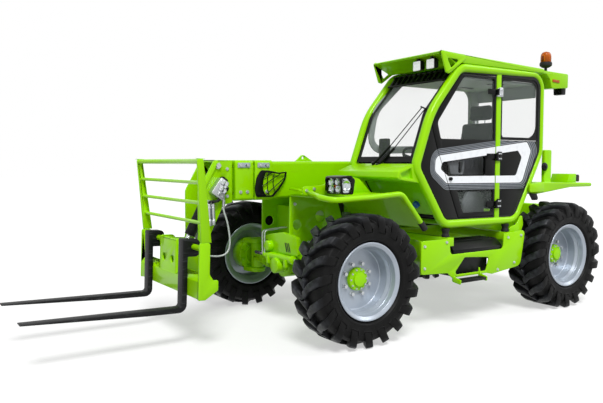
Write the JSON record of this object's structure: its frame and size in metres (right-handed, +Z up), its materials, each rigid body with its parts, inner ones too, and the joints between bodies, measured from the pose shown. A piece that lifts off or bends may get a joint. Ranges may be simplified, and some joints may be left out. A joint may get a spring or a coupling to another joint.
{
  "type": "telehandler",
  "caption": "Rough-terrain telehandler with a side cab, a telescopic boom carrying pallet forks with a load guard, and four steered wheels.",
  "frame": {"origin": "middle of the machine's box on the ground under the tyres", "axes": "+X forward along the boom and forks, +Y to the driver's left, +Z up"},
  "size_m": [6.0976, 2.4, 2.7413],
  "materials": {
    "green_paint": "gloss enamel",
    "engine_metal": "matt",
    "black_plastic": "satin",
    "clear_glass": "clear",
    "seat_cloth": "woven",
    "lamp_lens": "clear",
    "amber_lens": "ribbed",
    "mount_rubber": "matt",
    "black_steel": "satin",
    "bright_rod": "polished",
    "zinc_steel": "zinc plated",
    "rim_paint": "satin",
    "tyre_rubber": "matt",
    "grey_plastic": "grained",
    "hose_rubber": "matt"
  },
  "bodies": {
    "chassis": {"chassis_frame": "green_paint", "counterweight": "green_paint", "front_axle": "green_paint", "rear_axle": "green_paint", "engine_block": "engine_metal", "side_skirt": "green_paint", "steps": "black_plastic", "front_fenders": "green_paint", "rear_fenders": "green_paint", "cab_frame": "green_paint", "cab_roof": "green_paint", "roof_grille": "black_plastic", "cab_floor": "black_plastic", "cab_panels": "black_plastic", "cab_trim": "grey_plastic", "cab_glass": "clear_glass", "seat": "seat_cloth", "dashboard": "black_plastic", "steering_wheel": "black_plastic", "lamps": "lamp_lens", "beacon": "amber_lens", "wiper": "black_plastic", "cab_mounts": "mount_rubber", "tow_hitch": "zinc_steel"},
    "hood": {"engine_hood": "green_paint"},
    "door": {"door_frame": "black_plastic", "door_glass": "clear_glass"},
    "boom": {"boom_outer": "green_paint", "hose_guard": "black_plastic"},
    "boom_middle": {"boom_mid": "green_paint"},
    "boom_nose": {"boom_inner": "green_paint", "valve_block": "zinc_steel", "hose": "hose_rubber"},
    "fork_carriage": {"carriage": "green_paint", "load_guard": "green_paint", "forks": "black_steel"},
    "lift_cylinder": {"lift_barrel": "black_steel"},
    "lift_ram": {"lift_rod": "bright_rod"},
    "tilt_cylinder": {"tilt_barrel": "black_steel"},
    "tilt_ram": {"tilt_rod": "bright_rod"},
    "knuckle_fl": {"knuckle_fl": "green_paint"},
    "wheel_fl": {"rim_fl": "rim_paint", "tyre_fl": "tyre_rubber"},
    "knuckle_fr": {"knuckle_fr": "green_paint"},
    "wheel_fr": {"rim_fr": "rim_paint", "tyre_fr": "tyre_rubber"},
    "knuckle_rl": {"knuckle_rl": "green_paint"},
    "wheel_rl": {"rim_rl": "rim_paint", "tyre_rl": "tyre_rubber"},
    "knuckle_rr": {"knuckle_rr": "green_paint"},
    "wheel_rr": {"rim_rr": "rim_paint", "tyre_rr": "tyre_rubber"}
  },
  "joints": [
    {"name": "steer_fl", "type": "hinge", "parent": "chassis", "child": "knuckle_fl", "pos_m": [0.48117, 0.71, 0.565], "axis": [0, 0, 1], "range_deg": [-35, 35]},
    {"name": "spin_fl", "type": "hinge", "parent": "knuckle_fl", "child": "wheel_fl", "pos_m": [0.48117, 1, 0.565], "axis": [0, 1, 0], "continuous": true},
    {"name": "steer_fr", "type": "hinge", "parent": "chassis", "child": "knuckle_fr", "pos_m": [0.48117, -0.71, 0.565], "axis": [0, 0, 1], "range_deg": [-35, 35]},
    {"name": "spin_fr", "type": "hinge", "parent": "knuckle_fr", "child": "wheel_fr", "pos_m": [0.48117, -1, 0.565], "axis": [0, 1, 0], "continuous": true},
    {"name": "steer_rl", "type": "hinge", "parent": "chassis", "child": "knuckle_rl", "pos_m": [-2.26383, 0.71, 0.565], "axis": [0, 0, 1], "range_deg": [-35, 35]},
    {"name": "spin_rl", "type": "hinge", "parent": "knuckle_rl", "child": "wheel_rl", "pos_m": [-2.26383, 1, 0.565], "axis": [0, 1, 0], "continuous": true},
    {"name": "steer_rr", "type": "hinge", "parent": "chassis", "child": "knuckle_rr", "pos_m": [-2.26383, -0.71, 0.565], "axis": [0, 0, 1], "range_deg": [-35, 35]},
    {"name": "spin_rr", "type": "hinge", "parent": "knuckle_rr", "child": "wheel_rr", "pos_m": [-2.26383, -1, 0.565], "axis": [0, 1, 0], "continuous": true},
    {"name": "door_swing", "type": "hinge", "parent": "chassis", "child": "door", "pos_m": [-1.24083, 1.046, 1.6], "axis": [0, 0, 1], "range_deg": [0, 160]},
    {"name": "hood_lift", "type": "hinge", "parent": "chassis", "child": "hood", "pos_m": [-0.91883, -0.449, 1.294], "axis": [-1, 0, 0], "range_deg": [0, 65]},
    {"name": "boom_lift", "type": "hinge", "parent": "chassis", "child": "boom", "pos_m": [-2.46883, -0.155, 1.44], "axis": [0, -1, 0], "range_deg": [0, 68]},
    {"name": "boom_extend", "type": "slide", "parent": "boom", "child": "boom_middle", "axis": [1, 0, 0], "range_m": [0, 2.3]},
    {"name": "boom_extend_inner", "type": "slide", "parent": "boom_middle", "child": "boom_nose", "axis": [1, 0, 0], "range_m": [0, 2.3]},
    {"name": "fork_tilt", "type": "hinge", "parent": "boom_nose", "child": "fork_carriage", "pos_m": [1.51617, -0.155, 0.56], "axis": [0, 1, 0], "range_deg": [-12, 100]},
    {"name": "lift_cylinder_turn", "type": "hinge", "parent": "chassis", "child": "lift_cylinder", "pos_m": [-1.96883, -0.155, 0.72], "axis": [0, -1, 0], "range_deg": [0, 62.1]},
    {"name": "lift_ram_slide", "type": "slide", "parent": "lift_cylinder", "child": "lift_ram", "axis": [0.9528, 0, 0.3035], "range_m": [0, 0.975]},
    {"name": "tilt_cylinder_turn", "type": "hinge", "parent": "boom_nose", "child": "tilt_cylinder", "pos_m": [1.24117, -0.155, 1.4], "axis": [0, 1, 0], "range_deg": [-5.6, 1.6]},
    {"name": "tilt_ram_slide", "type": "slide", "parent": "tilt_cylinder", "child": "tilt_ram", "axis": [0.4741, 0, -0.8805], "range_m": [-0.05, 0.381]}
  ],
  "couplings": [
    {"joint": "steer_fr", "follows": "steer_fl", "ratio": 1},
    {"joint": "steer_rr", "follows": "steer_rl", "ratio": 1},
    {"joint": "boom_extend_inner", "follows": "boom_extend", "ratio": 1},
    {"joint": "lift_cylinder_turn", "follows": "boom_lift", "ratio": 0.89858},
    {"joint": "lift_ram_slide", "follows": "boom_lift", "m_per_rad": 0.80487},
    {"joint": "tilt_cylinder_turn", "follows": "fork_tilt", "ratio": -0.046304},
    {"joint": "tilt_ram_slide", "follows": "fork_tilt", "m_per_rad": 0.21561}
  ]
}
